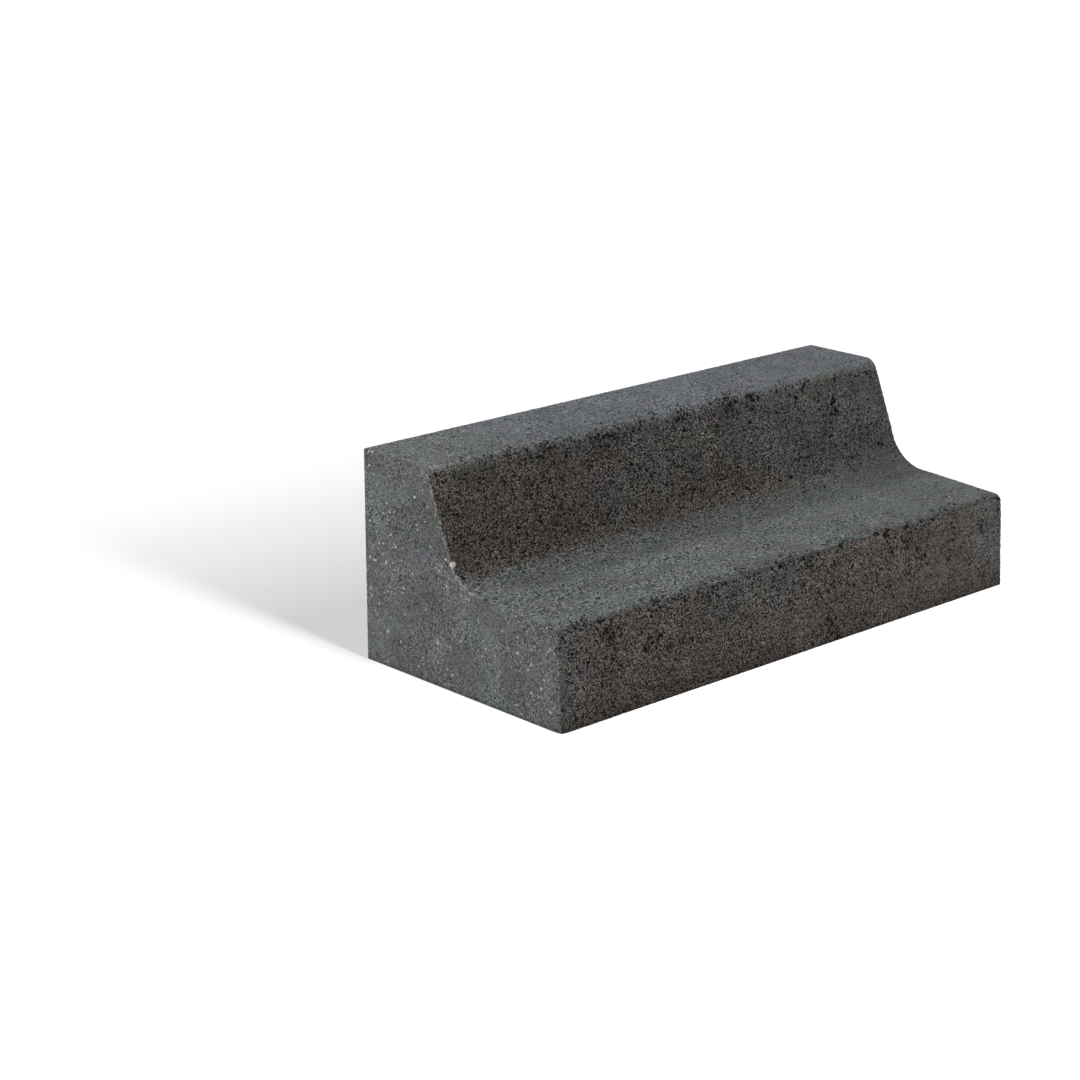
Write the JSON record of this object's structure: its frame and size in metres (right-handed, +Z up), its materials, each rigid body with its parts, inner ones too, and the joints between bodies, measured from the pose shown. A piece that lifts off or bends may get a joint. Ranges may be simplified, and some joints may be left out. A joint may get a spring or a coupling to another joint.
{
  "type": "concrete kerb stone",
  "caption": "Straight cast concrete kerb stone with a low apron in front and a leaning-faced upstand behind it, laid end to end to edge lawns, beds and paths.",
  "frame": {"origin": "on the underside, at the middle of the length and of the width", "axes": "+X along the length, +Y towards the back of the upstand, +Z up"},
  "size_m": [0.3, 0.13, 0.1],
  "materials": {
    "concrete": "matt, fine-grained charcoal concrete with small open pits"
  },
  "bodies": {
    "root": {"kerb_stone": "concrete"}
  },
  "joints": []
}
